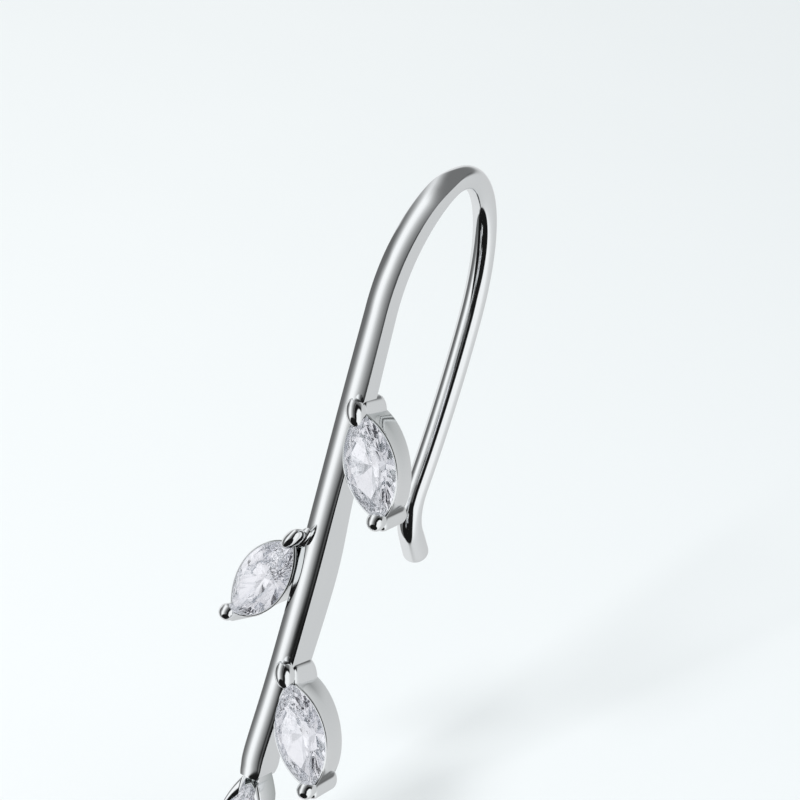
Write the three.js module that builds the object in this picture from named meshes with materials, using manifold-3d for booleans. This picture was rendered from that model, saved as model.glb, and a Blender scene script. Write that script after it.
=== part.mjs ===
// Drop earring: a fish-hook ear wire that flows into a straight vine stem with four marquise leaves.
//
// Frame: millimetres, +Z up. The origin is the inner top of the hook, where the wire hangs in the lobe.
// The front of the earring faces -Y, the hook bends back towards +Y in the plane x = 0, and the leaves
// spread to +X and -X. Every leaf has a local frame of its own: x across the leaf, y along it towards its
// top point, z out of its front, with z = 0 at the widest line of the stone (the girdle).

import * as THREE from "three";
import { mergeVertices } from "three/addons/utils/BufferGeometryUtils.js";
import Module from "manifold-3d";

const wasm = await Module();
wasm.setup();

// ---- driving dimensions -------------------------------------------------------------------------------

const WIRE = {
  diameter: 0.94, // over the bend
  backDiameter: 0.88, // down the back leg
  tipDiameter: 1.0, // at the blunt end of the back leg
  tipCap: 0.22, // how far the rounding stands past the end
};

const HOOK = {
  halfGap: 4.0, // half the distance between the two legs, wire centre to wire centre
  frontRise: 4.6, // height of the front quarter ellipse
  backRise: 6.0, // height of the back quarter ellipse
  lean: 0.68, // how far the back leg comes forward before it kicks out
  kickTop: -12.3, // height where the kick starts
  kickRadius: 2.2,
  kickTurn: 0.98, // angle of the kick, radians
  kickRun: 1.34, // straight length after the kick
  flatShare: 0.35, // share of the front quarter over which the wire keeps the stem's section
  roundShare: 0.95, // share of it after which the wire is round
};

// The stem from the hook down to the last leaf. Front is how far its front edges stand forward of the
// hook's front, side is its shift along X, crown is how far the middle of its front domes out, and boxy
// is the power of its superellipse: 2 is round, and a high power has flat sides and crisp corners.
const ROUND = 2;
const STEM = [
  { z: -4.2, width: 0.93, depth: 0.93, front: 0.0, side: 0.0, crown: 0.1, boxy: 14 },
  { z: -7.2, width: 0.93, depth: 1.02, front: 0.0, side: 0.0, crown: 0.11, boxy: 14 },
  { z: -11.5, width: 0.93, depth: 1.38, front: 0.01, side: 0.0, crown: 0.12, boxy: 14 },
  { z: -14.6, width: 0.93, depth: 1.74, front: 0.01, side: 0.0, crown: 0.12, boxy: 14 },
  { z: -18.6, width: 0.91, depth: 1.56, front: 0.04, side: -0.06, crown: 0.12, boxy: 14 },
  { z: -21.4, width: 0.88, depth: 1.48, front: 0.16, side: -0.14, crown: 0.11, boxy: 14 },
  { z: -22.2, width: 0.84, depth: 1.52, front: 0.19, side: -0.1, crown: 0.1, boxy: 10 },
  { z: -22.5, width: 0.76, depth: 1.45, front: 0.2, side: -0.08, crown: 0.08, boxy: 8 },
];

const STONE = {
  length: 4.0,
  width: 2.04,
  crown: 0.36, // height of the crown above the girdle
  table: 0.56, // size of the flat top against the outline
  star: 0.76, // where the star facets end, against the outline
  girdle: 0.06, // thickness of the girdle
  pavilion: 0.9, // depth below the girdle
  keel: 0.24, // where the lower facets meet near the culet, against the outline
  mains: 8, // main facets round the crown, and round the pavilion
};
const SPLITS = 4; // girdle facets under each main facet

// A setting tapers: its back outline is a smaller marquise than its front one, and its posts lean inwards.
const SETTING = {
  wall: 0.3, // thickness of the side wall at its front
  backLength: 0.91, // length of its back outline against its front one
  backWidth: 0.58, // width of its back outline against its front one
  postRadius: 0.25,
  postEdge: 0.12, // rounding of a post's ends
  postOut: 0.15, // how far outside the stone's point a post stands
  postFront: 0.22, // how far a post's front is in front of the girdle
  postShort: 0.25, // how far its back end stops short of the wall's back
  postLean: 0.08, // how far a post leans in on its way back
  clawWidth: 0.62,
  clawFront: 0.42, // how far a claw's middle is in front of the girdle
  clawHeight: 0.58,
  front: 0.56, // how far the girdles are in front of the centre of the hook's wire
};

const STONE_GAP = 0.04; // clearance between a stone and its seat

// The leaves: centre of the stone, the angle of its long axis from vertical with the top point towards -X,
// the turn of its face to one side, how far its girdle is in front of the others, and how deep its side
// wall is behind the girdle. Collar is the length that joins the upper post to the stem. The claws are the
// rounded ends of the posts: how far outside the stone's point their middle is, and their length.
const LEAVES = [
  {
    name: "stone_1",
    x: 1.37,
    z: -9.58,
    tilt: 28,
    turn: 0,
    forward: 0,
    depth: 2.05,
    collar: 0.12,
    upperClaw: { out: -0.06, length: 0.9 },
    lowerClaw: { out: -0.05, length: 0.7 },
  },
  {
    name: "stone_2",
    x: -1.63,
    z: -15.13,
    tilt: -28,
    turn: -12,
    forward: 0,
    depth: 2.05,
    collar: 0.42,
    upperClaw: { out: 0.08, length: 0.68 },
    lowerClaw: { out: -0.1, length: 0.66 },
  },
  {
    name: "stone_3",
    x: 1.45,
    z: -20.22,
    tilt: 28,
    turn: 0,
    forward: 0,
    depth: 2.05,
    collar: 0.34,
    upperClaw: { out: 0.36, length: 1.06 },
    lowerClaw: { out: -0.05, length: 0.68 },
  },
];

// The last leaf carries on the line of the stem. Its upper point is held by a shoulder instead of a claw.
const LAST_LEAF = {
  name: "stone_4",
  x: 0.05,
  z: -24.73,
  tilt: 0,
  turn: 0,
  forward: 0.05,
  depth: 1.55,
  lowerClaw: { out: -0.08, length: 0.66 },
};
const SHOULDER = {
  length: 5.4, // of the long marquise that joins the sides of the stem to the sides of the leaf
  width: 1.92,
  inside: 0.05, // how far it covers the stone's edges
  front: 0.12, // how far its front is in front of the girdle
  back: 0.95, // how far it reaches behind the girdle
  from: 0.35, // where it starts, above the leaf's middle
};

// ---- fineness of the solids ---------------------------------------------------------------------------

const WIRE_SIDES = 16;
const BEND_STEPS = 13; // sections along each quarter of the bend
const LEG_STEPS = 6;
const KICK_STEPS = 6;
const CAP_STEPS = 4; // steps of the rounded tip
const STEM_STEPS = 22;
const ARC_STEPS = 12; // segments along one side of a marquise outline
const POST_STEPS = 6; // segments of half a post
const EDGE_STEPS = 2; // steps of a post's rounded ends
const CLAW_SIDES = 14;
const CLAW_RINGS = 8;
const MERGE = 1e-5; // vertices closer than this are one

// ---- materials ----------------------------------------------------------------------------------------

const whiteMetal = new THREE.MeshStandardMaterial({ color: 0xd4d6d8, roughness: 0.08, metalness: 1 });
const clearStone = new THREE.MeshStandardMaterial({ color: 0xf2f4fa, roughness: 0.02, metalness: 0 });

// ---- helpers ------------------------------------------------------------------------------------------

// A closed three.js geometry as a manifold solid, placed by a matrix.
function solidOf(geometry, matrix = new THREE.Matrix4()) {
  const bare = geometry.index ? geometry.toNonIndexed() : geometry.clone();
  bare.deleteAttribute("normal");
  bare.deleteAttribute("uv");
  bare.applyMatrix4(matrix);
  const merged = mergeVertices(bare, MERGE);
  return new wasm.Manifold(
    new wasm.Mesh({
      numProp: 3,
      vertProperties: new Float32Array(merged.attributes.position.array),
      triVerts: new Uint32Array(merged.index.array),
    }),
  );
}

// A manifold solid as a three.js geometry.
function geometryOf(solid) {
  const mesh = solid.getMesh();
  const geometry = new THREE.BufferGeometry();
  geometry.setAttribute("position", new THREE.BufferAttribute(mesh.vertProperties, 3));
  geometry.setIndex(new THREE.BufferAttribute(mesh.triVerts, 1));
  geometry.computeVertexNormals();
  return geometry;
}

// A closed skin over rings of equal count, with flat ends.
function loft(rings) {
  const positions = rings.flat().flatMap((p) => [p.x, p.y, p.z]);
  const count = rings[0].length;
  const index = [];
  for (let r = 0; r + 1 < rings.length; r += 1) {
    for (let i = 0; i < count; i += 1) {
      const j = (i + 1) % count;
      const low = r * count;
      const high = low + count;
      index.push(low + i, low + j, high + j);
      index.push(low + i, high + j, high + i);
    }
  }
  const last = (rings.length - 1) * count;
  for (let i = 1; i + 1 < count; i += 1) {
    index.push(0, i + 1, i);
    index.push(last, last + i, last + i + 1);
  }
  const geometry = new THREE.BufferGeometry();
  geometry.setAttribute("position", new THREE.Float32BufferAttribute(positions, 3));
  geometry.setIndex(index);
  return geometry;
}

// ---- hook and stem ------------------------------------------------------------------------------------

// One section of the wire: a superellipse across X, turned by an angle about X, whose front may dome out.
function section({ x = 0, y, z, angle, width, depth, crown = 0, boxy = ROUND }) {
  const points = [];
  for (let i = 0; i < WIRE_SIDES; i += 1) {
    const turn = (2 * Math.PI * i) / WIRE_SIDES;
    const c = Math.cos(turn);
    const s = Math.sin(turn);
    const across = Math.sign(c) * Math.abs(c) ** (2 / boxy);
    const dome = s < 0 ? crown * (1 - across * across) : 0;
    const through = (depth / 2) * Math.sign(s) * Math.abs(s) ** (2 / boxy) - dome;
    points.push(
      new THREE.Vector3(
        x + (width / 2) * across,
        y + through * Math.cos(angle),
        z + through * Math.sin(angle),
      ),
    );
  }
  return points;
}

// Sections of the stem, from its foot up to the hook, interpolated smoothly through the table's rows.
function stemSections() {
  const at = (key, t) => {
    const rows = STEM.map((row) => new THREE.Vector2(row.z, row[key]));
    return new THREE.SplineCurve(rows).getPoint(t).y;
  };
  const frontY = -HOOK.halfGap - WIRE.diameter / 2;
  const sections = [];
  for (let i = 0; i <= STEM_STEPS; i += 1) {
    const t = 1 - i / STEM_STEPS;
    const depth = at("depth", t);
    sections.push(
      section({
        x: at("side", t),
        y: frontY - at("front", t) + depth / 2,
        z: at("z", t),
        angle: 0,
        width: at("width", t),
        depth,
        crown: at("crown", t),
        boxy: at("boxy", t),
      }),
    );
  }
  return sections;
}

// Centreline of the hook as points with the direction of travel: over the bend, down the back leg, out.
function hookLine() {
  const line = [];
  const topZ = WIRE.diameter / 2;
  const quarter = (rise, from, to) => {
    for (let i = 1; i <= BEND_STEPS; i += 1) {
      const turn = THREE.MathUtils.lerp(from, to, i / BEND_STEPS);
      const y = -HOOK.halfGap * Math.cos(turn);
      const z = topZ - rise + rise * Math.sin(turn);
      const heading = Math.atan2(rise * Math.cos(turn), HOOK.halfGap * Math.sin(turn));
      line.push({ y, z, heading });
    }
  };
  quarter(HOOK.frontRise, 0, Math.PI / 2);
  quarter(HOOK.backRise, Math.PI / 2, Math.PI);

  const legTop = topZ - HOOK.backRise;
  const legLength = legTop - HOOK.kickTop;
  for (let i = 1; i <= LEG_STEPS; i += 1) {
    const t = i / LEG_STEPS;
    const slope = (HOOK.lean * 2 * t) / legLength;
    line.push({
      y: HOOK.halfGap - HOOK.lean * t * t,
      z: legTop - legLength * t,
      heading: -Math.PI / 2 - Math.atan(slope),
    });
  }

  const start = line.at(-1);
  const centreY = start.y - HOOK.kickRadius * Math.sin(start.heading);
  const centreZ = start.z + HOOK.kickRadius * Math.cos(start.heading);
  for (let i = 1; i <= KICK_STEPS; i += 1) {
    const heading = start.heading + (HOOK.kickTurn * i) / KICK_STEPS;
    line.push({
      y: centreY + HOOK.kickRadius * Math.sin(heading),
      z: centreZ - HOOK.kickRadius * Math.cos(heading),
      heading,
    });
  }
  const end = line.at(-1);
  line.push({
    y: end.y + HOOK.kickRun * Math.cos(end.heading),
    z: end.z + HOOK.kickRun * Math.sin(end.heading),
    heading: end.heading,
  });
  return line;
}

// Sections of the hook. It takes over the stem's section, turns round over the front quarter of the bend,
// tapers over the back quarter and swells to a blunt rounded tip.
function hookSections() {
  const line = hookLine();
  const bendEnd = BEND_STEPS * 2;
  const top = STEM[0];
  const wire = (p, diameter, rounded = 1) =>
    section({
      ...p,
      angle: p.heading - Math.PI / 2,
      width: diameter,
      depth: diameter,
      crown: THREE.MathUtils.lerp(top.crown, 0, rounded),
      boxy: top.boxy * (ROUND / top.boxy) ** rounded,
    });
  const sections = line.map((p, i) => {
    const rounded = THREE.MathUtils.smoothstep(i / BEND_STEPS, HOOK.flatShare, HOOK.roundShare);
    const taper = THREE.MathUtils.smoothstep(i, BEND_STEPS, bendEnd);
    const swell = THREE.MathUtils.smoothstep(i, bendEnd + LEG_STEPS, line.length - 1);
    const leg = THREE.MathUtils.lerp(WIRE.diameter, WIRE.backDiameter, taper);
    return wire(p, THREE.MathUtils.lerp(leg, WIRE.tipDiameter, swell), rounded);
  });
  const end = line.at(-1);
  for (let i = 1; i < CAP_STEPS; i += 1) {
    const turn = ((Math.PI / 2) * i) / CAP_STEPS;
    const reach = WIRE.tipCap * Math.sin(turn);
    const p = {
      y: end.y + reach * Math.cos(end.heading),
      z: end.z + reach * Math.sin(end.heading),
      heading: end.heading,
    };
    sections.push(wire(p, WIRE.tipDiameter * Math.cos(turn)));
  }
  return sections;
}

// ---- marquise outline ---------------------------------------------------------------------------------

// A marquise is two equal arcs that meet in a point at each end.
function marquise(length, width) {
  const a = length / 2;
  const b = width / 2;
  const radius = (a * a + b * b) / (2 * b);
  return { a, radius, offset: radius - b, sweep: Math.asin(a / radius) };
}

// The marquise that runs inside another at an even distance, or outside it where the distance is negative.
function inset(m, distance) {
  const radius = m.radius - distance;
  const a = Math.sqrt(radius ** 2 - m.offset ** 2);
  return { a, radius, offset: m.offset, sweep: Math.asin(a / radius) };
}

// The outline's point at an arc angle from its middle, on the side +1 or -1.
function outlinePoint(m, angle, side) {
  return new THREE.Vector2(side * (m.radius * Math.cos(angle) - m.offset), m.radius * Math.sin(angle));
}

function marquisePath(m, path) {
  path.absarc(-m.offset, 0, m.radius, -m.sweep, m.sweep, false);
  path.absarc(m.offset, 0, m.radius, Math.PI - m.sweep, Math.PI + m.sweep, false);
  return path;
}

// ---- stone --------------------------------------------------------------------------------------------

// A marquise brilliant. Every main facet's plane touches the girdle at one of eight stations and passes
// through the apex over (crown) or under (pavilion) the centre, so neighbouring planes meet along a line
// through the corner of the two tangents there. All facets are flat.
function stoneGeometry(grow = 0) {
  const m = marquise(STONE.length + 2 * grow, STONE.width + 2 * grow);
  const half = STONE.girdle / 2 + grow;
  const tangents = [m.sweep, m.sweep / 2, 0, -m.sweep / 2, -m.sweep];

  const normalAt = (angle) =>
    Math.abs(angle) === m.sweep
      ? new THREE.Vector2(0, Math.sign(angle))
      : new THREE.Vector2(Math.cos(angle), Math.sin(angle));

  // Right side from the top point to the bottom point: stations, corners between them, girdle points.
  const stations = tangents.map((angle) => outlinePoint(m, angle, 1));
  const corners = [];
  const girdle = [];
  for (let k = 0; k < STONE.mains / 2; k += 1) {
    const n1 = normalAt(tangents[k]);
    const n2 = normalAt(tangents[k + 1]);
    const p1 = n1.dot(stations[k]);
    const p2 = n2.dot(stations[k + 1]);
    const cross = n1.x * n2.y - n1.y * n2.x;
    const corner = new THREE.Vector2((p1 * n2.y - p2 * n1.y) / cross, (n1.x * p2 - n2.x * p1) / cross);
    corners.push(corner);
    const b = corner.x * m.offset;
    const c = corner.lengthSq();
    const reach = (-b + Math.sqrt(b * b + c * (m.radius ** 2 - m.offset ** 2))) / c;
    const middle = Math.asin((corner.y * reach) / m.radius);
    const angles = [
      tangents[k],
      (tangents[k] + middle) / 2,
      middle,
      (middle + tangents[k + 1]) / 2,
    ];
    girdle.push(...angles.map((angle) => outlinePoint(m, angle, 1)));
  }

  // The left side mirrors the right one.
  const mirror = (p) => new THREE.Vector2(-p.x, p.y);
  const allStations = [...stations, ...stations.slice(1, 4).reverse().map(mirror)];
  const allCorners = [...corners, ...[...corners].reverse().map(mirror)];
  const bottom = stations[4];
  const allGirdle = [...girdle, bottom, ...girdle.slice(1).reverse().map(mirror)];

  const at = (p, scale, z) => [p.x * scale, p.y * scale, z];
  const crownRise = STONE.crown / (1 - STONE.table);
  const top = allStations.map((p) => at(p, STONE.table, half + STONE.crown));
  const stars = allCorners.map((p) => at(p, STONE.star, half + crownRise * (1 - STONE.star)));
  const upper = allGirdle.map((p) => at(p, 1, half));
  const lower = allGirdle.map((p) => at(p, 1, -half));
  const keels = allCorners.map((p) => at(p, STONE.keel, -half - STONE.pavilion * (1 - STONE.keel)));
  const culet = [0, 0, -half - STONE.pavilion];

  const triangles = [];
  const face = (...corner) => triangles.push(...corner.flat());
  const girdleCount = allGirdle.length;
  for (let k = 0; k < STONE.mains; k += 1) {
    const next = (k + 1) % STONE.mains;
    const before = (k + STONE.mains - 1) % STONE.mains;
    const g = (step) => (SPLITS * k + step + girdleCount) % girdleCount;
    face(top[0], top[next], top[k]);
    face(top[k], top[next], stars[k]);
    face(top[k], upper[g(0)], stars[before]);
    face(top[k], stars[k], upper[g(0)]);
    face(culet, keels[before], lower[g(0)]);
    face(culet, lower[g(0)], keels[k]);
    for (let step = 0; step < SPLITS; step += 1) {
      face(stars[k], upper[g(step + 1)], upper[g(step)]);
      face(keels[k], lower[g(step)], lower[g(step + 1)]);
      face(upper[g(step)], upper[g(step + 1)], lower[g(step + 1)]);
      face(upper[g(step)], lower[g(step + 1)], lower[g(step)]);
    }
  }
  const geometry = new THREE.BufferGeometry();
  geometry.setAttribute("position", new THREE.Float32BufferAttribute(triangles, 3));
  geometry.computeVertexNormals();
  return geometry;
}

// ---- setting ------------------------------------------------------------------------------------------

// A marquise plate, with a hole where an inner outline is given, from z = back to z = front.
function plateGeometry(outer, inner, back, front) {
  const shape = marquisePath(outer, new THREE.Shape());
  if (inner) {
    shape.holes.push(marquisePath(inner, new THREE.Path()));
  }
  const geometry = new THREE.ExtrudeGeometry(shape, {
    depth: front - back,
    bevelEnabled: false,
    curveSegments: ARC_STEPS,
  });
  return geometry.translate(0, 0, back);
}

// Side wall under the stone, open through its middle, tapering towards the back.
function wallGeometry(depth) {
  const outer = marquise(STONE.length, STONE.width);
  const geometry = plateGeometry(outer, inset(outer, SETTING.wall), -depth, 0);
  const position = geometry.attributes.position;
  for (let i = 0; i < position.count; i += 1) {
    if (position.getZ(i) < -depth / 2) {
      position.setX(i, position.getX(i) * SETTING.backWidth);
      position.setY(i, position.getY(i) * SETTING.backLength);
    }
  }
  return geometry;
}

// A post with rounded ends, whose outline is a slot from (0, from) to (0, to). It leans in towards the back.
function postGeometry(from, to, depth) {
  const { postEdge, postFront } = SETTING;
  const back = depth - SETTING.postShort;
  const radius = SETTING.postRadius - postEdge;
  const slot = new THREE.Shape();
  slot.absarc(0, to, radius, 0, Math.PI, false);
  slot.absarc(0, from, radius, Math.PI, 2 * Math.PI, false);
  const geometry = new THREE.ExtrudeGeometry(slot, {
    depth: postFront + back - 2 * postEdge,
    bevelThickness: postEdge,
    bevelSize: postEdge,
    bevelSegments: EDGE_STEPS,
    curveSegments: POST_STEPS,
  });
  geometry.translate(0, 0, postEdge - back);
  const lean = (SETTING.postLean / depth) * Math.sign(to);
  return geometry.applyMatrix4(new THREE.Matrix4().makeShear(0, 0, 0, 0, 0, lean));
}

// The rounded end of a post, bent over a point of the stone on the side +1 (top) or -1 (bottom).
function clawGeometry({ out, length }, side) {
  const { clawWidth, clawHeight, clawFront } = SETTING;
  const claw = new THREE.SphereGeometry(0.5, CLAW_SIDES, CLAW_RINGS);
  claw.scale(clawWidth, length, clawHeight);
  return claw.translate(0, side * (STONE.length / 2 + out), clawFront);
}

// The shoulder of the last leaf: it widens from the sides of the stem to the sides of the leaf, round the
// stone's upper point.
function shoulderGeometry() {
  const { length, width, inside, back, front, from } = SHOULDER;
  const plate = plateGeometry(marquise(length, width), null, -back, front);
  const band = solidOf(plate).trimByPlane([0, 1, 0], from);
  const window = inset(marquise(STONE.length, STONE.width), inside);
  const cut = plateGeometry(window, null, -2 * back, 2 * back);
  return geometryOf(band.subtract(solidOf(cut)));
}

// All metal of one leaf, in the leaf's frame, before its seat is cut.
function settingParts({ depth, collar, upperClaw, lowerClaw }) {
  const post = STONE.length / 2 + SETTING.postOut;
  const parts = [
    wallGeometry(depth),
    postGeometry(-post, -post, depth),
    clawGeometry(lowerClaw, -1),
  ];
  if (upperClaw) {
    parts.push(postGeometry(post, post + collar, depth));
    parts.push(clawGeometry(upperClaw, 1));
  } else {
    parts.push(shoulderGeometry());
  }
  return parts;
}

// ---- the earring --------------------------------------------------------------------------------------

const earring = new THREE.Group();

let metal = solidOf(loft([...stemSections(), ...hookSections()]));
const seats = [];

for (const leaf of [...LEAVES, LAST_LEAF]) {
  const frame = new THREE.Group();
  frame.position.set(leaf.x, -HOOK.halfGap - SETTING.front - leaf.forward, leaf.z);
  const [turn, tilt] = [leaf.turn, leaf.tilt].map(THREE.MathUtils.degToRad);
  frame.rotation.set(Math.PI / 2, turn, tilt);
  frame.updateMatrix();
  for (const part of settingParts(leaf)) {
    metal = metal.add(solidOf(part, frame.matrix));
  }
  seats.push(solidOf(stoneGeometry(STONE_GAP), frame.matrix));

  const stone = new THREE.Mesh(stoneGeometry(), clearStone);
  stone.name = leaf.name;
  frame.add(stone);
  earring.add(frame);
}

for (const seat of seats) {
  metal = metal.subtract(seat);
}

const frameMesh = new THREE.Mesh(geometryOf(metal), whiteMetal);
frameMesh.name = "earring_frame";
earring.add(frameMesh);

export default earring;
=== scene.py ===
"""Looks of the drop earring: polished white metal hook, stem and settings, with clear marquise stones.

Everything is built in millimetres in the row frame (+Z up, the stones face -Y, the origin is the inner top of
the hook's bend) and is scaled to metres when a mesh is made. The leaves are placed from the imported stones.
"""

import math

import bpy
import numpy as np
from mathutils import Matrix, Vector


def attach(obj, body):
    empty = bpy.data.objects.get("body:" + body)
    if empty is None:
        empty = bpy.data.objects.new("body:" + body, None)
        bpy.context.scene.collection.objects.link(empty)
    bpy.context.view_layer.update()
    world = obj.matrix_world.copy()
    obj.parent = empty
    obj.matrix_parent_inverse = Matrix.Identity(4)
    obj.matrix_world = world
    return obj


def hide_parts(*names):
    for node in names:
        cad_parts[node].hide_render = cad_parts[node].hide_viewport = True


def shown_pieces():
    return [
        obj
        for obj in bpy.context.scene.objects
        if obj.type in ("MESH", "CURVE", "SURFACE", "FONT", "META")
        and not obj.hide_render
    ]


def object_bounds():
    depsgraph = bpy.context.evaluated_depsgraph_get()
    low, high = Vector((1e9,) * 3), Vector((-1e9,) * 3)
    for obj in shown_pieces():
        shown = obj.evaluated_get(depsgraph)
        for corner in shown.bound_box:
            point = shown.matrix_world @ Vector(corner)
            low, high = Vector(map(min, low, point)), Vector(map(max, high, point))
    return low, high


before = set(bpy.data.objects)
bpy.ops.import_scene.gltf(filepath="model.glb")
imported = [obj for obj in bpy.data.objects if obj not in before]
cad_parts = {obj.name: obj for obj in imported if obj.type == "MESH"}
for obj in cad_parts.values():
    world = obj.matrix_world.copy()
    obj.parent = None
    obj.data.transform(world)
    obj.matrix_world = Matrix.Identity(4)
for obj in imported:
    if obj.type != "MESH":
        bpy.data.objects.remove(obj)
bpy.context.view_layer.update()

MM = 0.001

# ---- driving dimensions, as in the part's source (mm) ---------------------------------------------------

# Thickness of the wire at the top of the bend, on the back leg and at its end, how far the end domes out, and
# the power of the dome (a lower power makes it blunter).
WIRE = {"top": 0.90, "back": 0.88, "tip": 1.0, "cap": 0.22, "cap_power": 0.7}
# The bend's half width and the rise of its two quarters, how far the back leg leans in, the height where the
# kick starts, its radius, turn in radians and straight run, and the height of the bend's top.
HOOK = {"half_gap": 4.0, "front_rise": 4.6, "back_rise": 6.0, "lean": 0.68, "kick_top": -12.3,
        "kick_radius": 2.2, "kick_turn": 0.98, "kick_run": 1.34, "top_z": 0.47}
# Where on the front quarter of the bend the stem's flat-sided section turns into a round wire, as shares.
TURN_ROUND = {"corners": (0.35, 0.95), "size": (0.3, 1.0), "front": (0.1, 0.8), "facet": (0.5, 1.0)}

# The stem from its foot up to the hook. Columns: height, width, depth, how far its front edges stand forward,
# shift along X, how far the middle of its front domes out, power of the superellipse, how far the front
# face turns to one side (as a slope).
STEM_COLUMNS = ("z", "width", "depth", "front", "side", "crown", "boxy", "turn")
STEM = [
    (-22.5, 0.76, 1.45, 0.20, -0.08, 0.08, 8, 0.11),
    (-22.2, 0.84, 1.52, 0.19, -0.10, 0.10, 10, 0.11),
    (-21.4, 0.88, 1.48, 0.16, -0.14, 0.11, 14, 0.11),
    (-18.6, 0.91, 1.56, 0.04, -0.06, 0.12, 14, 0.11),
    (-14.6, 0.93, 1.74, 0.01, 0.0, 0.12, 14, 0.08),
    (-11.5, 0.93, 1.38, 0.01, 0.0, 0.12, 14, -0.02),
    (-7.2, 0.95, 1.02, 0.0, 0.0, 0.11, 14, -0.09),
    (-4.2, 0.92, 0.90, 0.0, 0.0, 0.11, 14, -0.14),
]
STEM_FRONT = -4.47  # where the hook's front edges are, along Y

# The domed facet along the front of the stem and hook: how far it stands inside the section's round front,
# the share of the front quarter where it ends and over which it fades, its turn in radians where the hook
# starts and at the top of the bend, and how far its edges are rounded.
FACET = {"gap": 0.07, "end": 0.99, "fade": 0.3, "turn_low": -0.14, "turn_top": 0.38, "edge": 0.003}

# The settings: thickness of the side wall, how much of its length and width are left at its back, how far its
# rim stands outside the stone, and for the posts their half width, how far they reach outside and inside the
# stone's point, how much shorter than the wall they are, the rounding of their back and front ends, and lean.
SETTING = {"wall": 0.3, "back_length": 0.91, "back_width": 0.58, "rim": 0.06, "post": 0.24, "post_out": 0.15,
           "post_in": 0.14, "post_short": 0.25, "post_back": 0.4, "post_top": 0.25, "lean": 0.08}
# How much a post's width and height shrink, and how far its middle moves in, at its back and front ends.
POST_END = {"width": (0.45, 0.5), "height": (0.6, 0.5), "middle": (0.5, 0.35)}
POST_POWER = 0.8  # of a post's rounded slot: 1 is an ellipse, a lower power is squarer
# The claws: half width, reach in front of and behind the middle, and height of the middle over the girdle.
CLAW = {"across": 0.32, "height": 0.33, "root": 0.65, "front": 0.37}
# Per leaf: turn of its face in degrees, depth of its wall, how dark its wall is painted towards the stem
# (painted shade standing in for dark reflections; on leaf 4 the back of its band), length of the collar to the
# stem, height of its upper post over the girdle, and for each claw how far outside the stone's point its middle
# is, half its length and, where it is a narrow one, half its width.
LEAVES = {
    "stone_1": {"turn": 0, "depth": 2.05, "painted_shade_level": 0.75, "collar": 0.12, "post_front": 0.02,
                "upper": (0.02, 0.54), "lower": (-0.05, 0.35)},
    "stone_2": {"turn": -12, "depth": 2.05, "painted_shade_level": 0.3, "collar": 0.42, "post_front": -0.1,
                "upper": (0.34, 0.5, 0.25), "lower": (-0.1, 0.33)},
    "stone_3": {"turn": 0, "depth": 2.05, "painted_shade_level": 0.3, "collar": 0.34, "post_front": -0.08,
                "upper": (0.36, 0.53), "lower": (-0.05, 0.34)},
    "stone_4": {"turn": 0, "depth": 1.55, "painted_shade_level": 0.9, "lower": (-0.08, 0.33)},
}
LOWER_POST_FRONT = 0.1
# The band round the upper point of leaf 4: length and width of its outline, how far it reaches inside the
# stone's outline, and its front and back. It runs from one height along the leaf to its tip, is at its full
# front height and depth from two more, and sinks by an amount between two heights near the tip.
SHOULDER = {"length": 5.4, "width": 1.92, "inside": 0.2, "front": 0.22, "back": 0.95, "from": 0.35,
            "full": 1.1, "deep": 1.7, "sink": (2.15, 2.6, 0.4), "low_front": -0.08, "low_back": 0.2}
# Its front edges: share of the way from the outer to the inner wall, and how far below the front.
SHOULDER_EDGE = ((0, 0.07), (0.06, 0.025), (0.2, 0), (0.6, 0), (0.86, 0.03), (1, 0.09))
# Painted shade: where the walls' painted darkening starts and is full, in half lengths of a leaf, and how far
# behind the girdle it starts on the band.
PAINTED_SHADE = {"start": -0.6, "full": 0.9, "behind": -0.5}

# How finely the sections are cut, and how strongly their points gather at corners.
SECTION = {"sides": 96, "samples": 4001, "corners": 0.8}
STEM_STEPS = 110
LINE_STEPS = {"bend": 44, "leg": 26, "kick": 16, "run": 8, "cap": 12}
OUTLINE_STEPS = 40
SHOULDER_STEPS = 90
POST_STEPS = {"sides": 48, "length": 12, "end": 9}
CLAW_STEPS = {"sides": 44, "rows": 30, "pole": 0.03}

# ---- looks and lights -----------------------------------------------------------------------------------

# The metal's tints, the dark grey painted into its base colour as painted shade, its roughness range and wipe
# stretch.
METAL = {"tints": ((0.90, 0.915, 0.925, 1), (0.97, 0.975, 0.98, 1)), "painted_shade": (0.50, 0.53, 0.525, 1),
         "roughness": (0.045, 0.13), "wipe_stretch": (1, 1, 0.12)}
STONE = {"tints": ((0.965, 0.965, 1.0, 1), (0.99, 0.985, 1.0, 1)), "roughness": (0.0, 0.012), "ior": 2.05}
# The paper's tints, and painted shade: the colour it darkens to towards the right, the direction and range of
# that falloff.
PAPER = {"tints": ((0.86, 0.89, 0.90, 1), (0.885, 0.91, 0.92, 1)), "falloff_shade": (0.84, 0.87, 0.885, 1),
         "falloff_along": (0.96, 0.28, 0), "falloff_over": (-0.03, 0.02)}
# The floor's half size and how far it lies below the earring, in metres.
FLOOR = {"half": 3.0, "below": 0.00005}

# Brightness of the light tent by compass angle from the front, towards +X, in degrees.
TENT = [
    (-180, 0.62), (-158, 0.74), (-104, 0.8), (-96, 0.85), (-92, 0.14), (-78, 0.14), (-64, 0.17), (-57, 0.29),
    (-52, 0.42), (-47, 0.62), (-43, 0.82), (-38, 1.02), (-26, 1.0), (-20, 0.88), (-15, 0.7), (-6, 0.45),
    (3, 0.28), (11, 0.18), (15, 0.05), (19, 0.04), (22, 0.22), (25, 0.03), (28, 0.008), (44, 0.006),
    (49, 0.03), (53, 0.95), (95, 0.95), (118, 0.72), (140, 0.65), (165, 0.62), (180, 0.62),
]
# Overhead the front half's panels run on as stripes: their brightness at the far left and right, and the
# heights (as the sine of the elevation) between which they take over.
STRIPES = {"left": 0.3, "right": 0.95, "heights": (0.26, 0.44)}
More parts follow.
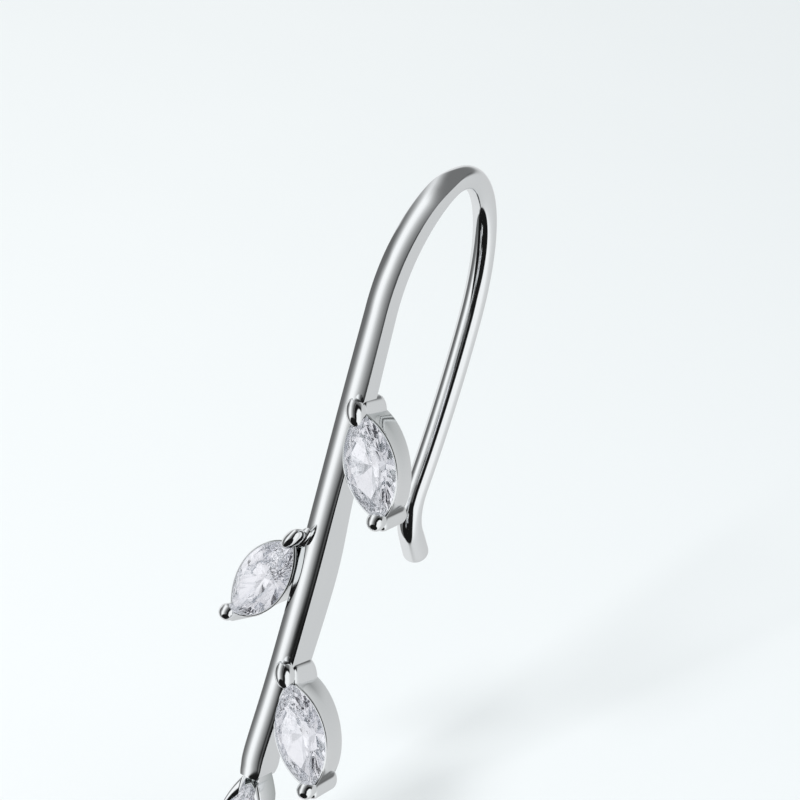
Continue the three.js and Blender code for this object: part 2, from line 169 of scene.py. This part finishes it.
# Darker patches of the tent: where each is, the cosines where it begins and is full, and its brightness.
PATCHES = {
    "table edge": ((0.164, -0.504, -0.848), 0.75, 0.79, 0.01),
    "ceiling": ((-0.05, 0.62, 0.78), 0.70, 0.97, 0.17),
}
TENT_TINT = (0.97, 0.99, 1.0, 1)
# The stones see a brighter tent, mixed by a share into the other one, with a dark spot in front.
STONE_TENT = {"share": 0.72, "colour": (1.04, 1.05, 1.09, 1), "dark": (0.05, 0.05, 0.06, 1)}
DARK_SPOT = ((0.383, -0.881, 0.279), 0.92, 0.935)
DIFFUSE_LIGHT = (0.88, 0.895, 0.895, 1)
BACKGROUND = (0.89, 0.93, 0.945, 1)

# The softbox and the camera, in mm, degrees and watts.
KEY = {"place": (19, -548, 229), "target": (0, 0, -15), "size": (80, 80), "watts": 2.1}
CAMERA = {"place": (54.45, -125.58, 31.45), "azimuth": 23.5, "elevation": 16.175, "roll": 14.97,
          "lens": 173.86, "sensor": 36, "clip": (0.005, 20)}
# Light bounces. Cut stones turn black inside at the usual limits.
BOUNCES = {"all": 48, "glossy": 32, "transmission": 32}

# ---- mesh helpers ---------------------------------------------------------------------------------------


def make_piece(name, points, faces, slot, sharp):
    """A piece of the earring from points in mm. Edges sharper than an angle in degrees stay crisp."""
    mesh = bpy.data.meshes.new(name)
    mesh.from_pydata([tuple(p * MM) for p in np.asarray(points, float)], [], faces)
    mesh.validate()
    mesh.polygons.foreach_set("use_smooth", [True] * len(mesh.polygons))
    mesh.set_sharp_from_angle(angle=math.radians(sharp))
    piece = bpy.data.objects.new(name, mesh)
    bpy.context.scene.collection.objects.link(piece)
    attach(piece, "root")
    return piece


def loft(rings, closed=False):
    """Points and faces of a skin over rings of equal count. Open lofts get a flat cap at each end."""
    count = len(rings[0])
    points = np.concatenate(rings)
    faces = []
    total = len(rings)
    for r in range(total if closed else total - 1):
        a, b = r * count, ((r + 1) % total) * count
        for i in range(count):
            j = (i + 1) % count
            faces.append((a + i, a + j, b + j, b + i))
    if not closed:
        faces.append(tuple(range(count - 1, -1, -1)))
        last = (total - 1) * count
        faces.append(tuple(range(last, last + count)))
    return points, faces


def joined(parts):
    """One set of points and faces from several."""
    points, faces, start = [], [], 0
    for p, f in parts:
        points.append(np.asarray(p, float))
        faces.extend(tuple(start + i for i in face) for face in f)
        start += len(p)
    return np.concatenate(points), faces


def smoothstep(x, low, high):
    t = np.clip((x - low) / (high - low), 0, 1)
    return t * t * (3 - 2 * t)


def spline(values, t):
    """Uniform Catmull-Rom through values, at t from 0 to 1."""
    last = len(values) - 1
    place = t * last
    i = min(int(place), last - 1)
    w = place - i
    p0, p1 = values[max(i - 1, 0)], values[i]
    p2, p3 = values[i + 1], values[min(i + 2, last)]
    v0, v1 = (p2 - p0) / 2, (p3 - p1) / 2
    return (2 * p1 - 2 * p2 + v0 + v1) * w**3 + (3 * (p2 - p1) - 2 * v0 - v1) * w**2 + v0 * w + p1


# ---- hook and stem --------------------------------------------------------------------------------------


def superellipse(across, through, half_width, reach, power):
    """Distance from the centre to a superellipse, in a direction given by its sine and cosine."""
    return ((np.abs(across) / half_width) ** power + (np.abs(through) / reach) ** power) ** (-1 / power)


def polar_section(half_width, front, back, boxy, facet, crown, turned):
    """A superellipse with a domed facet cut on its front, as (across, through) rows.

    The facet stands in front of the centre by the distance facet and is turned by an angle. Where the
    superellipse lies inside it, the facet is gone, so it narrows to a point where the two meet.
    """
    t = np.linspace(0, 2 * math.pi, SECTION["samples"])
    reach = np.where(np.cos(t) > 0, front, back)
    round_part = superellipse(np.sin(t), np.cos(t), half_width, reach, boxy)
    bend = crown / half_width**2
    p, q = np.cos(t - turned), np.maximum(np.sin(t - turned) ** 2, 1e-9)
    flat_part = (np.sqrt(p * p + 4 * bend * q * facet) - p) / (2 * bend * q)
    nearer = np.minimum(round_part, flat_part)
    far = np.maximum(round_part, flat_part)
    radius = nearer - FACET["edge"] * np.log1p(np.exp((nearer - far) / FACET["edge"]))
    x, y = radius * np.sin(t), -radius * np.cos(t)
    dx, dy = np.diff(x), np.diff(y)
    length = np.hypot(dx, dy)
    turning = np.abs(np.diff(np.unwrap(np.arctan2(dy, dx)), prepend=0))
    turning[0] = 0
    step = length / length.sum() + SECTION["corners"] * turning / (2 * math.pi)
    pace = np.concatenate([[0], np.cumsum(step)])
    at = np.interp(np.linspace(0, pace[-1], SECTION["sides"] + 1)[:-1], pace, t)
    return np.interp(at, t, x), np.interp(at, t, y)


def stem_rings():
    rows = [dict(zip(STEM_COLUMNS, row)) for row in STEM]
    rings = []
    for k in range(STEM_STEPS + 1):
        at = {key: spline([row[key] for row in rows], k / STEM_STEPS) for key in STEM_COLUMNS}
        half = at["depth"] / 2
        dome = half + at["crown"]
        across, through = polar_section(at["width"] / 2, dome + FACET["gap"], half, at["boxy"], dome,
                                        at["crown"], math.atan(at["turn"]))
        y = STEM_FRONT - at["front"] + half
        level = np.full(SECTION["sides"], at["z"])
        rings.append(np.stack([at["side"] + across, y + through, level], axis=1))
    return rings


def hook_line():
    """The wire's centreline from the stem to its end, as rows of y, z and heading."""
    gap, top = HOOK["half_gap"], HOOK["top_z"]
    bend, leg, kick, run = (LINE_STEPS[key] for key in ("bend", "leg", "kick", "run"))
    line = []
    for rise, start in ((HOOK["front_rise"], 0.0), (HOOK["back_rise"], math.pi / 2)):
        for i in range(1, bend + 1):
            turn = start + math.pi / 2 * i / bend
            heading = math.atan2(rise * math.cos(turn), gap * math.sin(turn))
            line.append((-gap * math.cos(turn), top - rise + rise * math.sin(turn), heading))
    leg_top = top - HOOK["back_rise"]
    leg_length = leg_top - HOOK["kick_top"]
    for i in range(1, leg + 1):
        t = i / leg
        slope = HOOK["lean"] * 2 * t / leg_length
        line.append((gap - HOOK["lean"] * t * t, leg_top - leg_length * t, -math.pi / 2 - math.atan(slope)))
    y, z, heading = line[-1]
    radius = HOOK["kick_radius"]
    cy, cz = y - radius * math.sin(heading), z + radius * math.cos(heading)
    for i in range(1, kick + 1):
        h = heading + HOOK["kick_turn"] * i / kick
        line.append((cy + radius * math.sin(h), cz - radius * math.cos(h), h))
    y, z, heading = line[-1]
    for i in range(1, run + 1):
        reach = HOOK["kick_run"] * i / run
        line.append((y + reach * math.cos(heading), z + reach * math.sin(heading), heading))
    return line


def ring_across(section, y, z, heading):
    """A section as a ring square to the wire, where the wire is at (y, z) and runs along a heading."""
    across, through = section
    angle = heading - math.pi / 2
    return np.stack([across, y + through * math.cos(angle), z + through * math.sin(angle)], axis=1)


def hook_rings():
    line = hook_line()
    bend = LINE_STEPS["bend"]
    kick_start = 2 * bend + LINE_STEPS["leg"]
    first = dict(zip(STEM_COLUMNS, STEM[-1]))
    start_front = first["depth"] / 2 + first["crown"]
    rings = []
    for i, (y, z, heading) in enumerate(line):
        share = i / bend
        corners, resize, flatten, swing = (smoothstep(share, *TURN_ROUND[key]) for key in TURN_ROUND)
        taper = smoothstep(share, 1.0, 2.0)
        swell = smoothstep(i, kick_start, len(line) - 1)
        size = WIRE["top"] + (WIRE["back"] - WIRE["top"]) * taper
        size = size + (WIRE["tip"] - size) * swell
        half_width = (first["width"] + (size - first["width"]) * resize) / 2
        back = (first["depth"] + (size - first["depth"]) * resize) / 2
        front = start_front + FACET["gap"] + (size / 2 - start_front - FACET["gap"]) * flatten
        boxy = first["boxy"] * (2 / first["boxy"]) ** corners
        turned = FACET["turn_low"] + (FACET["turn_top"] - FACET["turn_low"]) * swing
        edge = superellipse(math.sin(turned), math.cos(turned), half_width, front, boxy)
        gap = FACET["gap"] * np.clip((FACET["end"] - share) / FACET["fade"], -1, 1)
        section = polar_section(half_width, front, back, boxy, edge - gap, first["crown"], turned)
        shift = (STEM_FRONT + first["depth"] / 2 + HOOK["half_gap"]) * (1 - smoothstep(share, 0, 1))
        angle = heading - math.pi / 2
        rings.append(ring_across(section, y + shift * math.cos(angle), z + shift * math.sin(angle), heading))
    y, z, heading = line[-1]
    for k in range(1, LINE_STEPS["cap"]):
        turn = math.pi / 2 * k / LINE_STEPS["cap"]
        reach = WIRE["cap"] * math.sin(turn)
        half = WIRE["tip"] / 2 * math.cos(turn) ** WIRE["cap_power"]
        section = polar_section(half, half, half, 2, 2 * half, first["crown"], 0)
        out_y, out_z = y + reach * math.cos(heading), z + reach * math.sin(heading)
        rings.append(ring_across(section, out_y, out_z, heading))
    return rings


def build_hook_and_stem():
    points, faces = loft(stem_rings() + hook_rings())
    return make_piece("ear_hook_and_stem", points, faces, "white_metal", sharp=60)


# ---- leaves ---------------------------------------------------------------------------------------------


SAME_HEIGHT = 0.001  # how near a stone's top or bottom height (mm) a point belongs to its upper or lower tip


def marquise(length, width):
    """Radius of the two arcs of a marquise, and how far their centres are off its middle."""
    radius = (length**2 + width**2) / (4 * width)
    return radius, radius - width / 2


class Leaf:
    """The place of one stone: x across, y towards its top point, z out of its front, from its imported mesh."""

    def __init__(self, node):
        points = np.array([v.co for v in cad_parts[node].data.vertices], float) / MM
        height = points[:, 2]
        top, bottom = (points[abs(height - level) < SAME_HEIGHT].mean(axis=0)
                       for level in (height.max(), height.min()))
        turn = math.radians(LEAVES[node]["turn"])
        self.half = np.linalg.norm(top - bottom) / 2
        self.centre = (top + bottom) / 2
        self.along = (top - bottom) / (2 * self.half)
        self.out = np.array([math.sin(turn), -math.cos(turn), 0])
        self.across = np.cross(self.along, self.out)
        span = (points - self.centre) @ self.across
        self.radius, self.offset = marquise(2 * self.half, span.max() - span.min())

    def world(self, local):
        local = np.asarray(local, float)
        return (self.centre + local[:, :1] * self.across + local[:, 1:2] * self.along
                + local[:, 2:3] * self.out)

    def outline(self, grow):
        """Closed outline rows (x, y), grown outwards, starting at the top point and going round by +x."""
        radius = self.radius + grow
        sweep = math.acos(self.offset / radius)
        angle = np.linspace(sweep, -sweep, OUTLINE_STEPS + 1)[:-1]
        right = np.stack([radius * np.cos(angle) - self.offset, radius * np.sin(angle)], axis=1)
        return np.concatenate([right, -right])


def collet(leaf, depth):
    """The tapered side wall of a setting: a closed skin from its front rim, back, and through its middle."""
    rim = SETTING["rim"]
    inner = -SETTING["wall"]
    profile = [  # how far outside the stone's outline, and height over the girdle
        (rim - 0.02, 0.02), (rim + 0.005, 0.0), (rim + 0.012, -0.04), (rim, -0.12), (0.03, -0.3),
        (0.0, -depth * 0.5), (0.0, -depth + 0.06), (-0.015, -depth + 0.015), (-0.06, -depth),
        (inner + 0.06, -depth), (inner, -depth + 0.05), (inner, -0.5),
        (inner + 0.03, -0.34), (-0.03, -0.06), (-0.005, 0.0), (0.01, 0.02),
    ]
    rings = []
    for grow, z in profile:
        outline = leaf.outline(grow)
        share = np.clip(-z / depth, 0, 1)
        scale = np.array([1 - (1 - SETTING["back_width"]) * share, 1 - (1 - SETTING["back_length"]) * share])
        rings.append(leaf.world(np.column_stack([outline * scale, np.full(len(outline), z)])))
    return loft(rings[::-1], closed=True)


def post(leaf, side, depth, collar, front):
    """A post behind one point of the stone: a rounded slot in section, with both of its ends rounded off."""
    half, rise = SETTING["post"], SETTING["post"] + (collar + SETTING["post_in"]) / 2
    inner = leaf.half + SETTING["post_out"] - SETTING["post"] - SETTING["post_in"]
    turns = np.linspace(0, 2 * math.pi, POST_STEPS["sides"], endpoint=False)
    round_x = np.sign(np.cos(turns)) * np.abs(np.cos(turns)) ** POST_POWER
    round_y = np.sign(np.sin(turns)) * np.abs(np.sin(turns)) ** POST_POWER
    back = SETTING["post_short"] - depth
    low_end, high_end = back + SETTING["post_back"], front - SETTING["post_top"]
    quarter = np.linspace(0, math.pi / 2, POST_STEPS["end"])
    levels = [back + (1 - math.cos(a)) * SETTING["post_back"] for a in quarter]
    levels += list(np.linspace(low_end, high_end, POST_STEPS["length"])[1:])
    levels += [front - (1 - math.sin(a)) * SETTING["post_top"] for a in quarter[1:]]
    rings = []
    for z in levels:
        low = np.clip((low_end - z) / SETTING["post_back"], 0, 1)
        high = np.clip((z - high_end) / SETTING["post_top"], 0, 1)
        cut_low = 1 - math.sqrt(max(1 - low**2, 0))
        cut_high = 1 - math.sqrt(max(1 - high**2, 0))
        width, height, middle = (1 - at_back * cut_low - at_front * cut_high
                                 for at_back, at_front in POST_END.values())
        y = inner + rise * middle - SETTING["lean"] * np.clip(-z / depth, 0, 1)
        rows = np.stack([half * width * round_x, side * (y + rise * height * round_y),
                         np.full(len(turns), z)], axis=1)
        rings.append(leaf.world(rows if side > 0 else rows[::-1]))
    return loft(rings)


def claw(leaf, side, outside, half_length, across=CLAW["across"]):
    """The rounded end of a post, bent over one point of the stone."""
    turns = np.linspace(0, 2 * math.pi, CLAW_STEPS["sides"], endpoint=False)
    pole = math.pi / 2 - CLAW_STEPS["pole"]
    rings = []
    for a in np.linspace(-pole, pole, CLAW_STEPS["rows"]):
        reach = CLAW["height"] if a > 0 else CLAW["root"]
        rows = np.stack([across * math.cos(a) * np.cos(turns),
                         side * (leaf.half + outside) + half_length * math.cos(a) * np.sin(turns),
                         np.full(len(turns), CLAW["front"] + reach * math.sin(a))], axis=1)
        rings.append(leaf.world(rows))
    return loft(rings)


def shoulder(leaf):
    """The band that widens from the stem's sides to the last leaf's sides, round the stone's upper point."""
    radius, offset = marquise(SHOULDER["length"], SHOULDER["width"])
    start, tip = SHOULDER["from"], SHOULDER["length"] / 2
    inner_radius = leaf.radius - SHOULDER["inside"]
    inner_tip = math.sqrt(inner_radius**2 - leaf.offset**2)
    low_front, low_back = SHOULDER["low_front"], SHOULDER["low_back"]
    sink_from, sink_to, sink = SHOULDER["sink"]
    rings = []
    for k in range(2 * SHOULDER_STEPS + 1):
        side = 1 if k < SHOULDER_STEPS else -1
        share = 1 - abs(k - SHOULDER_STEPS) / SHOULDER_STEPS
        y_out = start + (tip - start) * share
        y_in = start + (inner_tip - start) * share
        x_out = math.sqrt(radius**2 - y_out**2) - offset
        x_in = math.sqrt(inner_radius**2 - y_in**2) - leaf.offset
        front = low_front + (SHOULDER["front"] - low_front) * smoothstep(y_out, start, SHOULDER["full"])
        front = front - sink * smoothstep(y_out, sink_from, sink_to)
        back = -low_back - (SHOULDER["back"] - low_back) * smoothstep(y_out, start, SHOULDER["deep"])
        outer, inner = np.array([x_out, y_out]), np.array([x_in, y_in])
        rows = []
        for mix, z in ((0, back), *((mix, front - drop) for mix, drop in SHOULDER_EDGE), (1, back)):
            x, y = outer + (inner - outer) * mix
            rows.append((side * x, y, z))
        rings.append(leaf.world(np.array(rows)))
    return loft(rings)


def offsets(piece, leaf, direction):
    """How far each vertex of a piece lies from the middle of a leaf, along a direction, in mm."""
    return np.array([(np.array(v.co) / MM - leaf.centre) @ direction for v in piece.data.vertices])


def paint_shade(piece, amounts):
    """How dark the metal is painted at each vertex: painted shade, standing in for dark reflections and shade.
    """
    painted_shade_level = piece.data.attributes.new("painted_shade_share", "FLOAT", "POINT")
    painted_shade_level.data.foreach_set("value", np.asarray(amounts, float))


def build_setting(index):
    node = f"stone_{index}"
    leaf, form = Leaf(node), LEAVES[node]
    depth = form["depth"]
    wall = make_piece(f"collet_{index}", *collet(leaf, depth), "white_metal", sharp=38)
    # Painted shade: the wall is painted darker towards the leaf's upper point, by the stem.
    up = offsets(wall, leaf, leaf.along) / leaf.half
    paint_shade(wall, form["painted_shade_level"] * smoothstep(up, PAINTED_SHADE["start"], PAINTED_SHADE["full"]))
    parts = [post(leaf, -1, depth, 0.0, LOWER_POST_FRONT), claw(leaf, -1, *form["lower"])]
    if "upper" in form:
        parts += [post(leaf, 1, depth, form["collar"], form["post_front"]), claw(leaf, 1, *form["upper"])]
    else:
        band = make_piece("leaf_shoulder", *shoulder(leaf), "white_metal", sharp=40)
        # Painted shade on the back of the band, behind the stone's girdle.
        paint_shade(band, form["painted_shade_level"] * (offsets(band, leaf, leaf.out) < PAINTED_SHADE["behind"]))
    make_piece(f"prongs_{index}", *joined(parts), "white_metal", sharp=60)


# ---- shader helpers -------------------------------------------------------------------------------------


def mix_colours(tree, factor, a, b, blend="MIX"):
    """A colour mix of two colours or sockets; gives its colour output."""
    node = tree.nodes.new("ShaderNodeMix")
    node.data_type = "RGBA"
    node.blend_type = blend
    colours = [socket for socket in node.inputs if socket.type == "RGBA"]
    for socket, value in zip((node.inputs[0], *colours), (factor, a, b)):
        if isinstance(value, bpy.types.NodeSocket):
            tree.links.new(value, socket)
        else:
            socket.default_value = value
    return next(socket for socket in node.outputs if socket.type == "RGBA")


def calculate(tree, operation, a, b):
    """The result of an operation on a socket and another socket or a number."""
    node = tree.nodes.new("ShaderNodeMath")
    node.operation = operation
    tree.links.new(a, node.inputs[0])
    if isinstance(b, bpy.types.NodeSocket):
        tree.links.new(b, node.inputs[1])
    else:
        node.inputs[1].default_value = b
    return node.outputs["Value"]


def along(tree, place, direction):
    """How far a place lies along a direction."""
    node = tree.nodes.new("ShaderNodeVectorMath")
    node.operation = "DOT_PRODUCT"
    tree.links.new(place, node.inputs[0])
    node.inputs[1].default_value = direction
    return node.outputs["Value"]


def rise(tree, value, start, full, kind="LINEAR"):
    """Rises from 0 to 1 while a value goes from start to full."""
    node = tree.nodes.new("ShaderNodeMapRange")
    node.interpolation_type = kind
    node.inputs["From Min"].default_value = start
    node.inputs["From Max"].default_value = full
    tree.links.new(value, node.inputs["Value"])
    return node.outputs["Result"]


def spread(tree, value, low, high):
    """A value from 0 to 1, spread from low to high."""
    node = tree.nodes.new("ShaderNodeMapRange")
    node.inputs["To Min"].default_value = low
    node.inputs["To Max"].default_value = high
    tree.links.new(value, node.inputs["Value"])
    return node.outputs["Result"]


def noise(tree, place, scale, detail):
    node = tree.nodes.new("ShaderNodeTexNoise")
    node.inputs["Scale"].default_value = scale
    node.inputs["Detail"].default_value = detail
    tree.links.new(place, node.inputs["Vector"])
    return node.outputs["Fac"]


def bump(tree, height, strength, distance):
    """A bump by a height socket over a distance in metres; gives the node."""
    node = tree.nodes.new("ShaderNodeBump")
    node.inputs["Strength"].default_value = strength
    node.inputs["Distance"].default_value = distance
    tree.links.new(height, node.inputs["Height"])
    return node


def levels_ramp(tree, place, levels):
    """Brightness by a place from 0 to 1, from rows of position and level that start at 0."""
    ramp = tree.nodes.new("ShaderNodeValToRGB")
    elements = ramp.color_ramp.elements
    while len(elements) > 1:
        elements.remove(elements[-1])
    elements[0].position = 0
    for position, level in levels:
        element = elements.new(position) if position > 0 else elements[0]
        element.color = (level, level, level, 1)
    tree.links.new(place, ramp.inputs["Fac"])
    return ramp.outputs["Color"]


def new_material(name):
    """A material with its node tree, its shader and the object coordinates."""
    material = bpy.data.materials.new(name)
    material.use_nodes = True
    tree = material.node_tree
    place = tree.nodes.new("ShaderNodeTexCoord").outputs["Object"]
    return material, tree, tree.nodes["Principled BSDF"], place


# ---- materials ------------------------------------------------------------------------------------------


def polished_metal():
    """White metal with a mirror polish: faint haze, fine wipe marks, a slightly uneven surface, and painted
    shade that greys parts of the settings.
    """
    material, tree, shader, place = new_material("polished_white_metal")
    shader.inputs["Metallic"].default_value = 1.0

    haze = noise(tree, place, scale=420, detail=5)
    tree.links.new(spread(tree, haze, *METAL["roughness"]), shader.inputs["Roughness"])
    tint = mix_colours(tree, haze, *METAL["tints"])
    # Painted shade: the base colour is darkened towards a grey by a share stored on each vertex, standing in
    # for dark reflections.
    painted_shade = tree.nodes.new("ShaderNodeAttribute")
    painted_shade.attribute_name = "painted_shade_share"
    shaded_tint = mix_colours(tree, painted_shade.outputs["Fac"], tint, METAL["painted_shade"])
    tree.links.new(shaded_tint, shader.inputs["Base Color"])

    stretch = tree.nodes.new("ShaderNodeMapping")
    stretch.inputs["Scale"].default_value = METAL["wipe_stretch"]
    tree.links.new(place, stretch.inputs["Vector"])
    marks = noise(tree, stretch.outputs["Vector"], scale=9000, detail=3)
    wipes = bump(tree, marks, strength=0.04, distance=0.000004)
    uneven = bump(tree, noise(tree, place, scale=260, detail=2), strength=0.25, distance=0.00003)
    tree.links.new(wipes.outputs["Normal"], uneven.inputs["Normal"])
    tree.links.new(uneven.outputs["Normal"], shader.inputs["Normal"])
    return material


def clear_stone():
    """Clear cubic zirconia with polished facets and a trace of polishing haze."""
    material, tree, shader, place = new_material("clear_cz")
    shader.inputs["Transmission Weight"].default_value = 1.0
    shader.inputs["IOR"].default_value = STONE["ior"]
    haze = noise(tree, place, scale=1800, detail=4)
    tree.links.new(spread(tree, haze, *STONE["roughness"]), shader.inputs["Roughness"])
    tree.links.new(mix_colours(tree, haze, *STONE["tints"]), shader.inputs["Base Color"])
    polish = bump(tree, haze, strength=0.05, distance=0.000004)
    tree.links.new(polish.outputs["Normal"], shader.inputs["Normal"])
    return material


def floor_paper():
    """Pale matt paper with a faint grain, and painted shade that darkens it a little towards the right, where
    the light falls off.
    """
    material, tree, shader, place = new_material("pale_paper")
    shader.inputs["Roughness"].default_value = 0.9
    shader.inputs["Specular IOR Level"].default_value = 0.1
    tint = mix_colours(tree, noise(tree, place, scale=30, detail=2), *PAPER["tints"])
    # Painted shade: the paper is painted darker towards the right, standing in for the light's falloff.
    side = rise(tree, along(tree, place, PAPER["falloff_along"]), *PAPER["falloff_over"])
    tree.links.new(mix_colours(tree, side, tint, PAPER["falloff_shade"]), shader.inputs["Base Color"])
    return material


# ---- studio ---------------------------------------------------------------------------------------------


def light_tent():
    """The world: a pale tent whose panels differ in brightness round the compass, even to the camera."""
    world = bpy.data.worlds.new("tent")
    bpy.context.scene.world = world
    world.use_nodes = True
    tree = world.node_tree
    nodes = tree.nodes
    nodes.clear()
    place = nodes.new("ShaderNodeTexCoord").outputs["Generated"]
    split = nodes.new("ShaderNodeSeparateXYZ")
    tree.links.new(place, split.inputs["Vector"])
    x, y, z = (split.outputs[axis] for axis in "XYZ")

    compass = calculate(tree, "ARCTAN2", x, calculate(tree, "MULTIPLY", y, -1.0))
    share = calculate(tree, "ADD", calculate(tree, "DIVIDE", compass, 2 * math.pi), 0.5)
    panels = levels_ramp(tree, share, [((angle + 180) / 360, level) for angle, level in TENT])

    front_half = [(angle, level) for angle, level in TENT if -91 < angle < 91]
    stripe_rows = [(-90, STRIPES["left"]), *front_half, (90, STRIPES["right"])]
    sideways = [((math.sin(math.radians(angle)) + 1) / 2, level) for angle, level in stripe_rows]
    stripes = levels_ramp(tree, calculate(tree, "ADD", calculate(tree, "MULTIPLY", x, 0.5), 0.5), sideways)

    lift = rise(tree, z, *STRIPES["heights"], "SMOOTHSTEP")
    whole = mix_colours(tree, lift, panels, stripes)
    for direction, start, full, level in PATCHES.values():
        patch = rise(tree, along(tree, place, direction), start, full, "SMOOTHSTEP")
        whole = mix_colours(tree, patch, whole, (level, level, level, 1))
    tent = mix_colours(tree, 1.0, whole, TENT_TINT, "MULTIPLY")

    direction, start, full = DARK_SPOT
    spot = rise(tree, along(tree, place, direction), start, full, "SMOOTHSTEP")
    bright = mix_colours(tree, STONE_TENT["share"], tent, STONE_TENT["colour"])
    spotted = mix_colours(tree, spot, bright, STONE_TENT["dark"])
    path = nodes.new("ShaderNodeLightPath")
    through = calculate(tree, "MINIMUM", path.outputs["Transmission Depth"], 1.0)
    lit = mix_colours(tree, through, tent, spotted)
    even = mix_colours(tree, path.outputs["Is Diffuse Ray"], lit, DIFFUSE_LIGHT)
    shown = mix_colours(tree, path.outputs["Is Camera Ray"], even, BACKGROUND)
    inside = nodes.new("ShaderNodeBackground")
    tree.links.new(shown, inside.inputs["Color"])
    output = nodes.new("ShaderNodeOutputWorld")
    tree.links.new(inside.outputs["Background"], output.inputs["Surface"])


def softbox(name, place, target, size, watts):
    """A soft rectangular light that isn't mirrored in the metal or seen through the stones."""
    light = bpy.data.lights.new(name, "AREA")
    light.shape = "RECTANGLE"
    light.size, light.size_y = size[0] * MM, size[1] * MM
    light.energy = watts
    lamp = bpy.data.objects.new(name, light)
    bpy.context.scene.collection.objects.link(lamp)
    lamp.location = Vector(place) * MM
    lamp.rotation_mode = "QUATERNION"
    lamp.rotation_quaternion = (Vector(target) - Vector(place)).to_track_quat("-Z", "Y")
    lamp.visible_glossy = False
    lamp.visible_transmission = False


def build_floor():
    """The paper that the earring hangs over. The metal and the stones don't mirror it."""
    half = FLOOR["half"]
    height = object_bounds()[0].z - FLOOR["below"]
    mesh = bpy.data.meshes.new("floor")
    corners = [(-half, -half, height), (half, -half, height), (half, half, height), (-half, half, height)]
    mesh.from_pydata(corners, [], [(0, 1, 2, 3)])
    floor = bpy.data.objects.new("floor", mesh)
    bpy.context.scene.collection.objects.link(floor)
    mesh.materials.append(floor_paper())
    floor.visible_glossy = False
    floor.visible_transmission = False


def build_camera():
    """A long lens a little above the earring and to its right, turned so that the stem leans."""
    azimuth, elevation, roll = (math.radians(CAMERA[key]) for key in ("azimuth", "elevation", "roll"))
    towards = Vector((math.sin(azimuth) * math.cos(elevation), -math.cos(azimuth) * math.cos(elevation),
                      math.sin(elevation)))
    right = Vector((math.cos(azimuth), math.sin(azimuth), 0))
    up = towards.cross(right)
    cam_right = math.cos(roll) * right + math.sin(roll) * up
    cam_up = math.cos(roll) * up - math.sin(roll) * right
    data = bpy.data.cameras.new("camera")
    data.sensor_width = CAMERA["sensor"]
    data.lens = CAMERA["lens"]
    data.clip_start, data.clip_end = CAMERA["clip"]
    camera = bpy.data.objects.new("camera", data)
    bpy.context.scene.collection.objects.link(camera)
    camera.location = Vector(CAMERA["place"]) * MM
    basis = Matrix((cam_right, cam_up, towards)).transposed()
    camera.rotation_mode = "QUATERNION"
    camera.rotation_quaternion = basis.to_quaternion()
    bpy.context.scene.camera = camera


# ---- the earring ----------------------------------------------------------------------------------------

metal = polished_metal()
stone = clear_stone()

hook = build_hook_and_stem()
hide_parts("earring_frame")
for index in (1, 2, 3, 4):
    build_setting(index)

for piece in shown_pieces():
    wanted = stone if piece.name.startswith("stone") else metal
    piece.data.materials.clear()
    piece.data.materials.append(wanted)

build_floor()
light_tent()
softbox("key", **KEY)
build_camera()
bpy.context.scene.view_settings.view_transform = "Standard"
bpy.context.scene.cycles.max_bounces = BOUNCES["all"]
bpy.context.scene.cycles.glossy_bounces = BOUNCES["glossy"]
bpy.context.scene.cycles.transmission_bounces = BOUNCES["transmission"]
